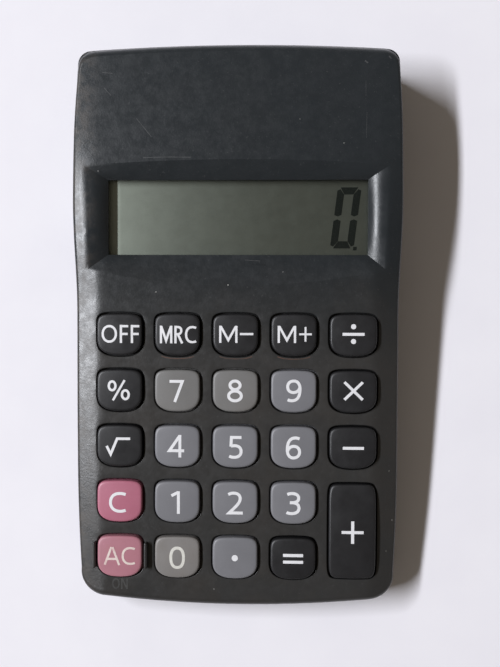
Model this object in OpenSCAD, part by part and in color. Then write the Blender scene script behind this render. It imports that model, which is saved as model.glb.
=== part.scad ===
// Pocket calculator lying on its back on a table: display end towards +Y, +X to the right.
// The thick end holds one AA cell across the body; the thin end carries the keys and slopes to the user.
// The case is moulded plastic in two halves. The keys, key mat and circuit board all lie
// parallel to the sloping key plane, so they are drawn flat and then tilted together.

/* [Body] */
// Overall length from the user's end to the display end
body_l = 118.5; // [100:0.5:140]
// Width across the thick end
head_w = 69.5; // [60:0.5:80]
// Width across the key field
slab_w = 67.8; // [58:0.2:78]
// Height of the thick end above the table
head_h = 18; // [16:0.5:24]
// Slope of the key plane in degrees
slope = 5.4; // [3:0.1:8]
// Height of the key plane above the table, half way along the body
plane_h = 14.35; // [13:0.05:17]
// Thickness of the key part, square to the key plane
slab_t = 8.2; // [7.8:0.1:9]
// Wall thickness of the mouldings
wall = 1.5; // [1.2:0.1:2]
// Gap left under the back by the feet
foot_gap = 0.6; // [0.4:0.1:1]
// Depth of the parting line below the key plane
parting = 5.2; // [4:0.1:6]

/* [Keys] */
// Spacing of the key columns
col_pitch = 12.14; // [11.5:0.02:13]
// Spacing of the key rows
row_pitch = 11.69; // [11:0.01:12.5]
// Width of a key cap
key_w = 9.4; // [8.5:0.1:10]
// Length of a key cap
key_l = 8.7; // [8:0.1:9.5]
// Width of the caps in the right-hand column
wide_key_w = 9.7; // [9:0.1:10.2]
// Length of the tall plus cap
tall_key_l = 19.8; // [18:0.1:21]
// Position of the top row along the key plane
row_1 = -2.3; // [-4:0.1:0]
// Height of the caps above the key plane
key_rise = 1.15; // [0.6:0.05:1.6]
// How far a key goes down when pressed
key_travel = 1; // [0.6:0.1:1.2]
// Gap between a cap and its aperture
key_gap = 0.35; // [0.25:0.05:0.5]

/* [Display] */
// Width of the visible window
win_w = 54.2; // [50:0.2:58]
// Lower edge of the window along the key plane
win_v0 = 14.4; // [12:0.1:16]
// Upper edge of the window along the key plane
win_v1 = 30.35; // [28:0.05:32]
// Depth of the window's rim below the key plane
rim_depth = 1.3; // [0.8:0.1:1.8]

/* [Battery] */
// Diameter of the AA cell
cell_d = 13.9; // [13.5:0.1:14.2]
// Length of the AA cell with its positive nub
cell_l = 50.5; // [49:0.1:50.5]
// Distance of the cell's axis from the middle of the body
cell_y = 46.2; // [45:0.1:47]
// Width of the battery cover
cover_w = 55; // [53:0.5:56]
// Start of the battery cover, measured from the middle of the body
cover_y0 = 38.9; // [38.5:0.1:39.5]

/* [Hidden] */
half_l = body_l / 2;
case_col = [0.20, 0.21, 0.22];
dark_col = [0.11, 0.11, 0.12];
grey_col = [0.46, 0.46, 0.48];
pink_col = [0.72, 0.42, 0.52];
metal_col = [0.75, 0.76, 0.78];
col_x = [-24.28, -12.14, 0, 12.14, 24.45];
tan_s = tan(slope);
back_h = plane_h - slab_t / cos(slope);
board_top = -4.42;
board_bot = -5.62;
mat_bot = -4.4;
mat_top = -3.7;
flange_top = -1.7;
flange_bot = -2.6;
lcd_top = -3.2;
lcd_bot = -5.2;
board_bosses = [[-18.2, -8.15], [18.28, -8.15], [-18.2, -31.5], [18.2, -31.5],
    [-6.07, -43.2], [6.07, -43.2]];
low_screws = [[-29.3, 7.7], [29.3, 7.7]];
high_screws = [[-22, 35.2], [22, 35.2]];
foot_spots = [[-27.5, -50.5], [27.5, -50.5], [-28.2, 27.5], [28.2, 27.5]];
cell_z = foot_gap + wall - 0.05 + cell_d / 2;
// route of the battery leads on the right-hand side
lead_points = [[28.4, 49.2, 13.01], [28.2, 40, 14], [27.8, 36, 12.8], [31, 33, 10.6],
    [31, 13.5, 10.4], [30.6, 11.61, 9.5], [24.5, 11.61, 9.37]];
$fn = 48;

// ---- outline functions -------------------------------------------------------------

function step01(t) = let (u = min(1, max(0, t))) u * u * (3 - 2 * u);
// half width of the plan at distance y from the middle
function half_w(y) = slab_w / 2 + (head_w - slab_w) / 2 * step01((y - 2) / 24)
    - (y < -30 ? 0.0014 * pow(y + 30, 2) : 0) - (y > 38 ? 0.0017 * pow(y - 38, 2) : 0);
function end_top(x) = half_l - 0.00102 * x * x;
function end_low(x) = -half_l + 0.00189 * x * x;
function arc(cx, cy, r, a0, a1, n) = [for (i = [0:n]) let (a = a0 + (a1 - a0) * i / n)
    [cx + r * cos(a), cy + r * sin(a)]];
function mirrored(p) = [for (i = [len(p) - 1:-1:0]) [-p[i][0], p[i][1]]];
// right-hand half of the plan outline, shrunk by e
function right_side(e) = let (
        rt = 2.8 - e * 0.9, rb = 5.4 - e, ct = half_w(55.5) - e - rt, cb = half_w(-51) - e - rb,
        yt = end_top(ct) - e - rt, yb = end_low(cb) + e + rb)
    concat([for (i = [1:7]) let (x = cb * i / 7 - 0.3) [x, end_low(x) + e]],
        arc(cb, yb, rb, -82, -4, 7),
        [for (i = [0:18]) let (y = yb + 1 + (yt - yb - 2) * i / 18) [half_w(y) - e, y]],
        arc(ct, yt, rt, 4, 86, 6),
        [for (i = [7:-1:1]) let (x = ct * i / 7 - 0.3) [x, end_top(x) - e]]);
function plan_points(e) = concat(right_side(e), [[0, half_l - e]], mirrored(right_side(e)),
    [[0, -half_l + e]]);

function key_plane(y) = plane_h + y * tan_s;
function head_top(y) = head_h - 0.7 * pow((y - 34) / 26, 2);
function top_z(y) = let (s = step01((y - 4) / 26)) key_plane(y) * (1 - s) + head_top(y) * s;
function bottom_z(y) = let (s = step01((y - 13) / 8)) (back_h + y * tan_s) * (1 - s) + foot_gap * s;
// side outline, shrunk by e, running along the top and back along the bottom
function side_points(e) = let (y0 = -half_l + e, y1 = half_l - e,
        ra = max(0.6, 2.3 - e), rb = max(0.4, 1.4 - e), rc = max(0.8, 3 - e), rd = max(0.6, 2.4 - e))
    concat(arc(y0 + ra, top_z(y0 + ra) - e - ra, ra, 180, 98, 6),
        [for (i = [0:34]) let (y = y0 + ra + 0.5 + (y1 - y0 - ra - rc - 1) * i / 34) [y, top_z(y) - e]],
        arc(y1 - rc, top_z(y1 - rc) - e - rc, rc, 82, 0, 6),
        arc(y1 - rd, foot_gap + e + rd, rd, 0, -88, 5),
        [for (i = [34:-1:0]) let (y = y0 + rb + 0.5 + (y1 - y0 - rb - rd - 1) * i / 34) [y, bottom_z(y) + e]],
        arc(y0 + rb, bottom_z(y0 + rb) + e + rb, rb, 275, 180, 4));
// cross-section with rounded edges: half width w, from z0 up to z1
function section(w, z0, z1, rb, rt) = concat(
    arc(w - rt, z1 - rt, rt, 0, 90, 8), mirrored(arc(w - rt, z1 - rt, rt, 0, 90, 8)),
    [for (p = mirrored(arc(w - rb, z0 + rb, rb, -90, 0, 6))) p], arc(w - rb, z0 + rb, rb, -90, 0, 6));

// ---- helpers -----------------------------------------------------------------------

module on_slope() translate([0, 0, plane_h]) rotate([slope, 0, 0]) children();

module along_y(y0, y1) translate([0, y1, 0]) rotate([90, 0, 0]) linear_extrude(y1 - y0) children();

// the whole body as one solid, shrunk by e all over
module envelope(e) {
    intersection() {
        translate([0, 0, -1]) linear_extrude(head_h + 4) polygon(plan_points(e));
        rotate([90, 0, 90]) translate([0, 0, -head_w]) linear_extrude(2 * head_w) polygon(side_points(e));
        union() {
            on_slope() along_y(-70, 14)
                polygon(section(slab_w / 2 + 0.12 - e, -slab_t + e - 0.04, 0.04 - e, 1.8, 3.4));
            along_y(6, 70)
                polygon(section(head_w / 2 + 0.1 - e, foot_gap + e - 0.04, head_h + 0.05 - e, 2.6, 4.2));
        }
        // gentle crown across the thick end
        translate([0, 0, head_h - e - 620]) rotate([90, 0, 0])
            cylinder(r = 620, h = 200, center = true, $fn = 360);
    }
}

// everything above (up = true) or below the parting plane
module side_of_parting(up, shift = 0) on_slope()
    translate([0, 0, -parting + shift + (up ? 30 : -30)]) cube([90, 150, 60], center = true);

// ring just inside the wall, from w0 up, open across the battery end
module lip_ring(e, w0, h) intersection() {
    linear_extrude(30) difference() {
        polygon(plan_points(e));
        polygon(plan_points(wall + 0.9));
    }
    on_slope() translate([-40, -70, w0]) cube([80, 105.5, h]);
}

// key outline: flat on top with tight corners, rounder towards the user
module key_outline(w, l, grow = 0) polygon([for (i = [0:35]) let (
        t = i * 10, c = cos(t), s = sin(t), n = s > 0 ? 5.2 : 3.5,
        k = l > 12 ? 9 : n)
    [(w / 2 + grow) * sign(c) * pow(abs(c), 2 / (s > 0 ? 5.2 : 4.2)),
     (l / 2 + grow) * sign(s) * pow(abs(s), 2 / k)]]);

function row_v(r) = row_1 - row_pitch * (r - 1);

module key_slot(c, v, w, l) translate([col_x[c - 1], v, -4]) linear_extrude(10)
    key_outline(w, l, key_gap);

module all_key_slots() {
    for (c = [1:4], r = [1:5]) key_slot(c, row_v(r), key_w, key_l);
    for (r = [1:3]) key_slot(5, row_v(r), wide_key_w, key_l);
    key_slot(5, (row_v(4) + row_v(5)) / 2, wide_key_w, tall_key_l);
}

// a hollow cap with a retaining flange, and a stem that bears on its dome
module key_cap(c, v, w, l) on_slope() translate([col_x[c - 1], v, 0]) difference() {
    union() {
        intersection() {
            translate([0, 0, flange_top - 0.1]) linear_extrude(8) key_outline(w, l);
            translate([0, 0, key_rise - 46]) scale([1, l > 12 ? 2 : 1, 1]) sphere(r = 46, $fn = 180);
        }
        translate([0, 0, flange_bot]) linear_extrude(flange_top - flange_bot) key_outline(w, l, 0.5);
    }
    difference() {
        translate([0, 0, flange_bot - 1]) linear_extrude(-flange_bot + 0.7) key_outline(w, l, -1.1);
        for (d = l > 12 ? [-row_pitch / 2, row_pitch / 2] : [0])
            translate([0, d, flange_bot]) cylinder(r = 1.5, h = 4);
    }
}

// ---- casings -----------------------------------------------------------------------

module front_case() color(case_col) {
    difference() {
        union() {
            difference() {
                envelope(0);
                envelope(wall);
                side_of_parting(false);
            }
            // thicker frame round the window
            intersection() {
                envelope(0.4);
                on_slope() translate([-30.6, win_v0 - 2.6, -2.2]) cube([61.2, win_v1 - win_v0 + 5.2, 6]);
            }
            // bosses for the board screws
            on_slope() for (p = board_bosses) translate([p[0], p[1], board_top]) cylinder(r = 1.6, h = 3.2);
            // bosses for the case screws
            intersection() {
                envelope(0.5);
                union() {
                    on_slope() for (p = low_screws) translate([p[0], p[1], -5.1]) cylinder(r = 2.5, h = 6);
                    for (p = high_screws) translate([p[0], p[1], 9]) cylinder(r = 2.5, h = 9);
                }
            }
            // guard ribs on both sides of the AC key
            on_slope() for (s = [-1, 1])
                translate([col_x[0] + s * 5.45 - 0.35, row_v(5) - 2.6, -1]) cube([0.7, 5.6, 2.3]);
        }
        on_slope() {
            all_key_slots();
            // bevelled recess and the window opening at its bottom
            hull() {
                translate([-win_w / 2, win_v0, -rim_depth]) cube([win_w, win_v1 - win_v0, 0.01]);
                translate([-39, 3.85, 1.6]) cube([78, 32.6, 0.01]);
            }
            translate([-win_w / 2, win_v0, -4]) cube([win_w, win_v1 - win_v0, 4]);
            for (p = board_bosses) translate([p[0], p[1], board_top - 0.1]) cylinder(r = 0.8, h = 2.4);
            for (p = low_screws) translate([p[0], p[1], -5.2]) cylinder(r = 1.15, h = 3.6);
        }
        for (p = high_screws) translate([p[0], p[1], 8.9]) cylinder(r = 1.15, h = 6);
    }
}

module rear_case() color(case_col) difference() {
    union() {
        difference() {
            envelope(0);
            envelope(wall);
            side_of_parting(true);
        }
        // lip that locates the front case
        difference() {
            union() {
                lip_ring(wall + 0.12, -parting - 0.2, 1.2);
                lip_ring(wall - 0.3, -parting - 0.65, 0.63);
            }
            on_slope() for (p = low_screws) translate([p[0], p[1], -5.9]) cylinder(r = 3.4, h = 10);
        }
        intersection() {
            envelope(0.4);
            union() {
                on_slope() for (p = low_screws) translate([p[0], p[1], -9]) cylinder(r = 2.9, h = 3.8);
                for (p = high_screws) translate([p[0], p[1], 0]) cylinder(r = 2.5, h = 8.9);
                // walls of the battery box
                translate([-29.6, 37.9, 1]) cube([59.2, 0.8, 9]);
                for (s = [-1, 1]) translate([s * 29.2 - 0.4, 38, 1]) cube([0.8, 16.4, 9]);
                // backing behind the positive contact
                translate([cell_l / 2 + 0.47, cell_y - 3, 7.3]) cube([3.2, 6, 2.7]);
            }
        }
    }
    // battery opening and the slots for the cover's rails
    translate([-cover_w / 2 - 0.15, cover_y0 - 0.15, -1]) cube([cover_w + 0.3, 40, 8.15]);
    translate([-cover_w / 2 - 1.15, cover_y0 + 0.9, foot_gap + wall - 0.07])
        cube([cover_w + 2.3, 40, 1.2]);
    // screw holes and their countersunk heads
    on_slope() for (p = low_screws) translate([p[0], p[1], -10]) {
        cylinder(r = 1.3, h = 12);
        cylinder(r = 2.15, h = 3.2);
    }
    for (p = high_screws) translate([p[0], p[1], 0]) {
        cylinder(r = 1.3, h = 12);
        cylinder(r = 2.15, h = 2.4);
    }
    for (p = foot_spots) translate([p[0], p[1], -1]) cylinder(r = 3.25, h = p[1] < 0 ? 2.9 : 2.3);
}

module battery_cover() color(case_col) difference() {
    union() {
        intersection() {
            envelope(0);
            translate([-cover_w / 2, cover_y0, 0]) cube([cover_w, 40, 7]);
        }
        intersection() {
            envelope(0);
            translate([-cover_w / 2 - 1, cover_y0 + 1.1, foot_gap + wall + 0.15])
                cube([cover_w + 2, 40, 0.8]);
        }
    }
    // hollow inside, leaving a plate, an end wall and two rails
    translate([-cover_w / 2 + 1, cover_y0 - 1, foot_gap + wall - 0.12])
        cube([cover_w - 2, half_l - wall - cover_y0 + 0.9, 12]);
    translate([-cover_w, cover_y0 - 1, foot_gap + wall + 0.95])
        cube([2 * cover_w, half_l - wall - cover_y0 + 0.9, 12]);
    // finger grooves
    for (i = [0:4]) translate([-9, cover_y0 + 4 + i * 1.6, foot_gap - 0.5]) cube([18, 0.8, 0.8]);
}

module rubber_feet() color(dark_col) for (p = foot_spots)
    translate([p[0], p[1], 0]) cylinder(r = 3.2, h = p[1] < 0 ? 1.85 : 1.25);

module case_screws() color(metal_col) {
    on_slope() for (p = low_screws) translate([p[0], p[1], 0]) screw_down(-6.9, 1.9, 1.1, 1.1, 4.9);
    for (p = high_screws) translate([p[0], p[1], 0]) screw_down(2.3, 1.9, 1.1, 1.1, 9);
}

// pan-head screw with its head below z = seat, shaft going up from there, cross slot underneath
module screw_down(seat, head_r, head_h_, shaft_r, len) difference() {
    union() {
        translate([0, 0, seat - head_h_]) cylinder(r = head_r, h = head_h_);
        translate([0, 0, seat - 0.1]) cylinder(r = shaft_r, h = len);
    }
    for (a = [0, 90]) rotate(a)
        translate([-head_r * 0.65, -0.2, seat - head_h_ - 0.1]) cube([head_r * 1.3, 0.4, 0.6]);
}

// ---- display -----------------------------------------------------------------------

module display_window() color([0.75, 0.8, 0.8, 0.35]) on_slope()
    translate([-29.2, win_v0 - 1.7, -3.1]) cube([58.4, win_v1 - win_v0 + 3.4, 0.9]);

// two glass plates; the lower one is longer and carries the contacts
module lcd_panel() color([0.45, 0.48, 0.43]) on_slope() {
    translate([-28.8, win_v0 - 0.3, lcd_top - 1]) cube([57.6, win_v1 - win_v0 + 1.4, 1]);
    translate([-28.8, win_v0 - 1.9, lcd_bot]) cube([57.6, win_v1 - win_v0 + 3, 1]);
}

module lcd_holder() color([0.75, 0.75, 0.72]) on_slope() difference() {
    translate([-30, win_v0 - 2.8, -6]) cube([60, win_v1 - win_v0 + 4.6, 2.85]);
    translate([-29, win_v0 - 2.1, lcd_bot - 0.05]) cube([58, win_v1 - win_v0 + 3.4, 4]);
    translate([-26, win_v0 + 1, -7]) cube([52, win_v1 - win_v0 - 2, 4]);
    // gap where the ribbon comes out
    translate([-24, win_v0 - 3.5, lcd_bot - 0.05]) cube([48, 3, 4]);
}

module lcd_ribbon() color([0.55, 0.35, 0.15]) on_slope() {
    translate([-23, win_v0 - 2.2, lcd_top - 1.0 + 0.02]) cube([46, 1.8, 0.15]);
    translate([-23, win_v0 - 4, board_top + 0.02]) cube([46, 1.95, 0.15]);
    translate([-23, win_v0 - 2.2, board_top + 0.02]) cube([46, 0.15, lcd_top - 1 - board_top + 0.15]);
}

// ---- electronics -------------------------------------------------------------------

module circuit_board() color([0.55, 0.42, 0.22]) on_slope() difference() {
    union() {
        translate([-30.7, -54.9, board_bot]) cube([61.4, 58.4, board_top - board_bot]);
        translate([-25.5, 3, board_bot]) cube([51, 8.3, board_top - board_bot]);
    }
    for (p = board_bosses) translate([p[0], p[1], -8]) cylinder(r = 0.95, h = 6);
    for (s = [-1, 1]) translate([s * 31, -55, -8]) cylinder(r = 4.4, h = 6);
}

module board_screws() color(metal_col) on_slope() for (p = board_bosses)
    translate([p[0], p[1], 0]) screw_down(board_bot - 0.02, 1.5, 0.8, 0.75, 3.2);

module key_mat() color([0.30, 0.31, 0.33]) on_slope() difference() {
    union() {
        translate([-30.3, -54.4, mat_bot]) cube([60.6, 57.6, mat_top - mat_bot]);
        at_domes() translate([0, 0, mat_top - 0.05])
            cylinder(r1 = 3.5, r2 = 1.9, h = flange_bot - 0.03 - mat_top + 0.05);
    }
    at_domes() translate([0, 0, mat_bot - 0.01]) cylinder(r1 = 3.1, r2 = 1.6, h = 1.2);
    for (p = board_bosses) translate([p[0], p[1], -8]) cylinder(r = 1.9, h = 6);
}

module at_domes() for (c = [1:5], r = [1:5]) translate([col_x[c - 1], row_v(r), 0]) children();

module carbon_pills() color([0.08, 0.08, 0.08]) on_slope() at_domes()
    translate([0, 0, mat_bot + 0.85]) cylinder(r = 1.2, h = 0.33);

module chip() color([0.06, 0.06, 0.06]) on_slope() translate([3, -14, board_bot]) {
    translate([0, 0, -0.5]) cylinder(r = 6, h = 0.5);
    translate([0, 0, -0.9]) cylinder(r1 = 4.4, r2 = 6, h = 0.4);
}

module electrolytic_capacitor() color([0.12, 0.14, 0.25]) on_slope()
{
    translate([-15, 18.4, -8.7]) rotate([-90, 0, 0]) cylinder(r = 2, h = 5);
    // leads: out of the can, up, back under the board and into it
    for (d = [-15.8, -14.2]) {
        translate([d, 17.7, -8.7]) rotate([-90, 0, 0]) cylinder(r = 0.22, h = 0.8);
        translate([d, 17.7, -8.8]) cylinder(r = 0.22, h = 2.5);
        translate([d, 10.3, -6.4]) rotate([-90, 0, 0]) cylinder(r = 0.22, h = 7.5);
        translate([d, 10.4, -6.5]) cylinder(r = 0.22, h = 0.86);
    }
}

module ceramic_capacitor() color([0.75, 0.5, 0.2]) on_slope() translate([14.5, 7.6, board_top]) {
    translate([0, 0, 1.5]) rotate([0, 90, 0]) cylinder(r = 1.4, h = 1.2, center = true);
    for (d = [-0.8, 0.8]) translate([0, d, 0]) cylinder(r = 0.22, h = 1);
}

module resistor(x, y) on_slope() translate([x, y, board_top + 0.85]) rotate([0, 90, 0]) {
    cylinder(r = 0.8, h = 3.6, center = true);
    cylinder(r = 0.22, h = 6.4, center = true);
    for (s = [-1, 1]) translate([0, 0, s * 3]) rotate([0, 90, 0]) cylinder(r = 0.22, h = 0.85);
}
module resistor_1() color([0.78, 0.68, 0.5]) resistor(-4, 8.6);
module resistor_2() color([0.78, 0.68, 0.5]) resistor(5, 6.6);

// ---- power -------------------------------------------------------------------------

module aa_cell() color([0.25, 0.45, 0.35]) translate([0, cell_y, cell_z]) rotate([0, 90, 0]) {
    translate([0, 0, -cell_l / 2]) cylinder(r = cell_d / 2, h = cell_l - 1.4);
    translate([0, 0, cell_l / 2 - 1.6]) cylinder(r = 2.7, h = 1.6);
}

module positive_contact() color(metal_col) translate([cell_l / 2 + 0.03, cell_y - 4, 4.2]) {
    cube([0.4, 8, 8.5]);
    translate([0, 6, 8]) cube([3, 2, 0.4]);
}

// plate with a conical spring of four joined coils
module negative_spring() color(metal_col) {
    translate([-28.7, cell_y - 4, 4.2]) cube([0.35, 8, 8.4]);
    translate([0, cell_y, cell_z]) rotate([0, 90, 0]) for (i = [0:3]) {
        translate([0, 0, -28.1 + i * 0.83]) rotate_extrude()
            translate([3.6 - i * 0.55, 0]) circle(r = 0.3, $fn = 16);
        if (i < 3) rotate(i * 110)
            translate([3.3 - i * 0.55, 0, -28.1 + i * 0.83]) cylinder(r = 0.25, h = 0.83);
    }
}

module lead_run(pts, r) for (i = [0:len(pts) - 2]) hull() for (p = [pts[i], pts[i + 1]])
    translate(p) sphere(r = r, $fn = 14);

module red_lead() color([0.6, 0.08, 0.06])
    lead_run(lead_points, 0.4);

module black_lead() color([0.05, 0.05, 0.05])
    lead_run([for (p = lead_points) [-p[0], p[1], p[2]]], 0.4);

// ---- keys --------------------------------------------------------------------------

module key_off() color(dark_col) key_cap(1, row_v(1), key_w, key_l);
module key_mrc() color(dark_col) key_cap(2, row_v(1), key_w, key_l);
module key_m_minus() color(dark_col) key_cap(3, row_v(1), key_w, key_l);
module key_m_plus() color(dark_col) key_cap(4, row_v(1), key_w, key_l);
module key_divide() color(dark_col) key_cap(5, row_v(1), wide_key_w, key_l);
module key_percent() color(dark_col) key_cap(1, row_v(2), key_w, key_l);
module key_7() color(grey_col) key_cap(2, row_v(2), key_w, key_l);
module key_8() color(grey_col) key_cap(3, row_v(2), key_w, key_l);
module key_9() color(grey_col) key_cap(4, row_v(2), key_w, key_l);
module key_times() color(dark_col) key_cap(5, row_v(2), wide_key_w, key_l);
module key_root() color(dark_col) key_cap(1, row_v(3), key_w, key_l);
module key_4() color(grey_col) key_cap(2, row_v(3), key_w, key_l);
module key_5() color(grey_col) key_cap(3, row_v(3), key_w, key_l);
module key_6() color(grey_col) key_cap(4, row_v(3), key_w, key_l);
module key_minus() color(dark_col) key_cap(5, row_v(3), wide_key_w, key_l);
module key_c() color(pink_col) key_cap(1, row_v(4), key_w, key_l);
module key_1() color(grey_col) key_cap(2, row_v(4), key_w, key_l);
module key_2() color(grey_col) key_cap(3, row_v(4), key_w, key_l);
module key_3() color(grey_col) key_cap(4, row_v(4), key_w, key_l);
module key_plus() color(dark_col) key_cap(5, (row_v(4) + row_v(5)) / 2, wide_key_w, tall_key_l);
module key_ac() color(pink_col) key_cap(1, row_v(5), key_w, key_l);
module key_0() color(grey_col) key_cap(2, row_v(5), key_w, key_l);
module key_point() color(grey_col) key_cap(3, row_v(5), key_w, key_l);
module key_equals() color(dark_col) key_cap(4, row_v(5), key_w, key_l);

front_case();
rear_case();
battery_cover();
display_window();
lcd_panel();
lcd_holder();
lcd_ribbon();
circuit_board();
board_screws();
case_screws();
rubber_feet();
key_mat();
carbon_pills();
chip();
electrolytic_capacitor();
ceramic_capacitor();
resistor_1();
resistor_2();
aa_cell();
positive_contact();
negative_spring();
red_lead();
black_lead();
key_off();
key_mrc();
key_m_minus();
key_m_plus();
key_divide();
key_percent();
key_7();
key_8();
key_9();
key_times();
key_root();
key_4();
key_5();
key_6();
key_minus();
key_c();
key_1();
key_2();
key_3();
key_plus();
key_ac();
key_0();
key_point();
key_equals();
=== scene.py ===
import bpy
from math import ceil, copysign, cos, dist, pi, radians, sin, tan, tau
from mathutils import Euler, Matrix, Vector, geometry


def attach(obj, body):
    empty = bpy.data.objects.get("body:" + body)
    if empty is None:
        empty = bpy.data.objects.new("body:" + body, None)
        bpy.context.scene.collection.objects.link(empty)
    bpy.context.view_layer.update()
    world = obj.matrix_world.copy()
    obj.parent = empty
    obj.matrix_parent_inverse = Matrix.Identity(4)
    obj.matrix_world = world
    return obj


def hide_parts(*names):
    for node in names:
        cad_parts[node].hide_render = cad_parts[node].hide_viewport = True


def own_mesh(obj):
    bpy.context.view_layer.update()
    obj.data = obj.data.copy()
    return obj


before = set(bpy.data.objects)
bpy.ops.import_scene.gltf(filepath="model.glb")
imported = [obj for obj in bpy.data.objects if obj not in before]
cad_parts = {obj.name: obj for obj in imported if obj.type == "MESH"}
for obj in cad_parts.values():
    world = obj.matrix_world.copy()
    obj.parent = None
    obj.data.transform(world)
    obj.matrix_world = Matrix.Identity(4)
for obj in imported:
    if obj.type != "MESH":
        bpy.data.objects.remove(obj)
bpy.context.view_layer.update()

# ---- sizes in millimetres, which follow the part's source ----

MM = 0.001
SLOPE = radians(5.4)
SIN, COS, TAN = sin(SLOPE), cos(SLOPE), tan(SLOPE)
HALF_L = 59.25
SLAB_W, HEAD_W, HEAD_H = 67.8, 69.5, 18.0
PLANE_H, PARTING, SKIN = 14.35, 5.2, 1.5
COL_X = [-24.28, -12.14, 0.0, 12.14, 24.45]
ROW_1, ROW_PITCH, ROWS = -2.3, 11.69, 5
KEY_W, KEY_L, WIDE_W, TALL_L = 9.4, 8.7, 9.7, 19.8
KEY_RISE, KEY_GAP = 1.15, 0.35
FLANGE_TOP, FLANGE_BOT, FLANGE_OUT, CAP_WALL, STEM_R = -1.7, -2.6, 0.5, 1.1, 1.5
WIN_V0, WIN_V1, RIM = 14.4, 30.05, 1.3
LCD_TOP = -3.2

# plan: the sides spread into the head and draw in near both ends, which are arched
SPREAD_Y, SPREAD_L = 2, 24
LOW_IN_Y, LOW_IN, TOP_IN_Y, TOP_IN = -30, 0.0014, 38, 0.0017
TOP_ARC, LOW_ARC = 0.00102, 0.00189
# upper face: from the key plane up to the head, which has a crest and a slight crown
RISE_Y, RISE_L = 4, 26
CREST_Y, CREST_L, CREST_FALL, CROWN_D = 34, 26, 0.7, 2000
# its long edges fall off: a straight slope on the key part, a soft one on the head
EDGE_IN, EDGE_FLAT, EDGE_SLOPE = 6.0, 4.1, 0.262
HEAD_EDGE_IN, HEAD_EDGE_SLOPE = 6.5, 0.062
EDGE_BLEND_Y, EDGE_BLEND_L = 18, 24


def row_v(r):
    return ROW_1 - ROW_PITCH * (r - 1)


def step01(t):
    t = min(1.0, max(0.0, t))
    return t * t * (3 - 2 * t)


def mix(a, b, t):
    return a * (1 - t) + b * t


def power(v, exponent):
    """v to a power with its sign kept, for rounded outlines."""
    return copysign(abs(v) ** exponent, v)


def half_w(y):
    w = SLAB_W / 2 + (HEAD_W - SLAB_W) / 2 * step01((y - SPREAD_Y) / SPREAD_L)
    return w - LOW_IN * min(0.0, y - LOW_IN_Y) ** 2 - TOP_IN * max(0.0, y - TOP_IN_Y) ** 2


def end_top(x):
    return HALF_L - TOP_ARC * x * x


def end_low(x):
    return -HALF_L + LOW_ARC * x * x


def top_h(x, y):
    """Height of the upper face above the table, before its edges fall off."""
    s = step01((y - RISE_Y) / RISE_L)
    head = HEAD_H - CREST_FALL * ((y - CREST_Y) / CREST_L) ** 2 - x * x / CROWN_D
    return (PLANE_H + y * TAN) * (1 - s) + head * s


def surface_h(x, y):
    """Height of the upper face with its long edges drawn down."""
    u = max(0.0, half_w(y) - abs(x))
    soft = EDGE_IN - EDGE_FLAT
    slab = 0.0
    if u < EDGE_IN:
        slab = EDGE_SLOPE * ((EDGE_IN - u) ** 2 / (2 * soft) if u > EDGE_FLAT else soft / 2 + EDGE_FLAT - u)
    head = HEAD_EDGE_SLOPE * max(0.0, HEAD_EDGE_IN - u) ** 2 / (2 * HEAD_EDGE_IN)
    return top_h(x, y) - mix(slab, head, step01((y - EDGE_BLEND_Y) / EDGE_BLEND_L))


def under_h(x, y):
    return top_h(x, y) - SKIN


def parting_h(y):
    return PLANE_H + y * TAN - PARTING / COS


def tilt(x, v, w):
    """A point given in the sloping key plane: along it v, above it w."""
    return (x, v * COS - w * SIN, PLANE_H + v * SIN + w * COS)


# the camera, fitted to the photograph's outline and key grid with the overall size assumed
CAM_AT, CAM_TURN = Vector((10.732, -13.452, 201.357)), (0.061364, 0.040941, 0.007262)
CAM_LENS, SENSOR = 48.58, 36.0
PHOTO_W, PHOTO_H = 500, 667


def on_face(px, py):
    """The place on the upper face that the camera sees through a point of its picture."""
    f = CAM_LENS / SENSOR * PHOTO_H
    d = Euler(CAM_TURN).to_matrix() @ Vector(((px - PHOTO_W / 2) / f, (PHOTO_H / 2 - py) / f, -1))
    z = 16.0
    for _ in range(8):
        k = (CAM_AT.z - z) / -d.z
        x, y = CAM_AT.x + d.x * k, CAM_AT.y + d.y * k
        z = surface_h(x, y)
    return x, y


# ---- small mesh kit ----

class Mesh:
    """Collects points in millimetres and makes one Blender object of them."""

    def __init__(self):
        self.points, self.faces, self.sharp, self.mats = [], [], set(), []

    def add(self, pts):
        first = len(self.points)
        self.points.extend(pts)
        return list(range(first, len(self.points)))

    def face(self, ids, mat=0):
        self.faces.append(ids)
        self.mats.append(mat)

    def strip(self, a, b, mat=0):
        """Quads between two rings of point numbers. Anticlockwise seen from above, a is the lower
        one of a wall that faces out, and the upper one of a wall that faces in."""
        for i in range(len(a)):
            j = (i + 1) % len(a)
            self.face((a[i], a[j], b[j], b[i]), mat)

    def flat(self, ids):
        """Points as (number, x, y), the form that fill takes."""
        return [(k, *self.points[k][:2]) for k in ids]

    def crease(self, ring, closed=True):
        n = len(ring)
        for i in range(n if closed else n - 1):
            self.sharp.add(frozenset((ring[i], ring[(i + 1) % n])))

    def build(self, name, materials, angle=40.0):
        me = bpy.data.meshes.new(name)
        me.from_pydata([(x * MM, y * MM, z * MM) for x, y, z in self.points], [], self.faces)
        me.polygons.foreach_set("use_smooth", [True] * len(me.polygons))
        me.polygons.foreach_set("material_index", self.mats)
        for m in materials:
            me.materials.append(m)
        me.set_sharp_from_angle(angle=radians(angle))
        if self.sharp:
            for e in me.edges:
                if frozenset(e.vertices) in self.sharp:
                    e.use_edge_sharp = True
        me.update()
        obj = bpy.data.objects.new(name, me)
        bpy.context.scene.collection.objects.link(obj)
        return obj


def circle(cx, cv, r, n=28):
    return [(cx + r * cos(tau * i / n), cv + r * sin(tau * i / n)) for i in range(n)]


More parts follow.
